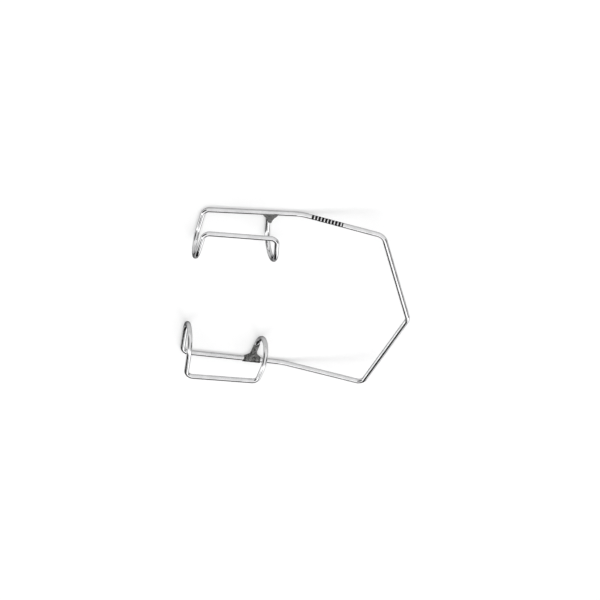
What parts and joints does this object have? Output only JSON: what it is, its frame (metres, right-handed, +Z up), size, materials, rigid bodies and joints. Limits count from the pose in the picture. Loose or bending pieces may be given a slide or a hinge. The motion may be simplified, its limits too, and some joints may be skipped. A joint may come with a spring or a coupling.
{
  "type": "wire eyelid speculum",
  "caption": "Self-retaining spring-wire eyelid retractor with open blades: a bent bow, two arms, hooked lid channels and brazed wire ends.",
  "frame": {"origin": "centre of the footprint, on the surface that the two rails lie on", "axes": "+X from the blades to the tip of the spring bow, +Y to the left arm, +Z up from the rails to the blade bars"},
  "size_m": [0.0392, 0.0352, 0.0073],
  "materials": {
    "polished_wire": "polished stainless spring wire",
    "brushed_wire": "drawn stainless spring wire with fine lengthwise lines",
    "silver_solder": "matte filed silver solder"
  },
  "bodies": {
    "bow": {"bow_apex": "polished_wire", "left_leg_root": "brushed_wire", "right_leg_root": "brushed_wire"},
    "left_elbow_link": {"left_leg_tip": "brushed_wire", "left_elbow": "polished_wire", "left_shank_rear": "brushed_wire"},
    "left_arm": {"left_shank_front": "brushed_wire", "left_knee": "polished_wire", "left_rail": "polished_wire", "left_rail_corner": "polished_wire", "left_front_lower_leg": "polished_wire", "left_front_turn": "polished_wire", "left_front_upper_leg": "polished_wire", "left_front_bar_corner": "polished_wire", "left_blade_bar": "polished_wire", "left_rear_bar_corner": "polished_wire", "left_rear_upper_leg": "polished_wire", "left_rear_turn": "polished_wire", "left_wire_end": "polished_wire", "left_braze": "silver_solder"},
    "right_elbow_link": {"right_leg_tip": "brushed_wire", "right_elbow": "polished_wire", "right_shank_rear": "brushed_wire"},
    "right_arm": {"right_shank_front": "brushed_wire", "right_knee": "polished_wire", "right_rail": "polished_wire", "right_rail_corner": "polished_wire", "right_front_lower_leg": "polished_wire", "right_front_turn": "polished_wire", "right_front_upper_leg": "polished_wire", "right_front_bar_corner": "polished_wire", "right_blade_bar": "polished_wire", "right_rear_bar_corner": "polished_wire", "right_rear_upper_leg": "polished_wire", "right_rear_turn": "polished_wire", "right_wire_end": "polished_wire", "right_braze": "silver_solder"}
  },
  "joints": [
    {"name": "left_leg_flex", "type": "hinge", "parent": "bow", "child": "left_elbow_link", "pos_m": [0.01627, 0.00829, 0.00527], "axis": [-0.2672, 0, 0.9636], "range_deg": [0, 8], "stiffness_Nm_per_rad": 0.27},
    {"name": "left_shank_flex", "type": "hinge", "parent": "left_elbow_link", "child": "left_arm", "pos_m": [0.00595, 0.0171, 0.00241], "axis": [-0.2672, 0, 0.9636], "range_deg": [0, 4.8], "stiffness_Nm_per_rad": 0.27},
    {"name": "right_leg_flex", "type": "hinge", "parent": "bow", "child": "right_elbow_link", "pos_m": [0.01627, -0.00829, 0.00527], "axis": [-0.2672, 0, 0.9636], "range_deg": [-8, 0], "stiffness_Nm_per_rad": 0.27},
    {"name": "right_shank_flex", "type": "hinge", "parent": "right_elbow_link", "child": "right_arm", "pos_m": [0.00595, -0.0171, 0.00241], "axis": [-0.2672, 0, 0.9636], "range_deg": [-4.8, 0], "stiffness_Nm_per_rad": 0.27}
  ],
  "couplings": [
    {"joint": "left_shank_flex", "follows": "left_leg_flex", "ratio": 0.6},
    {"joint": "right_leg_flex", "follows": "left_leg_flex", "ratio": -1},
    {"joint": "right_shank_flex", "follows": "left_leg_flex", "ratio": -0.6}
  ]
}
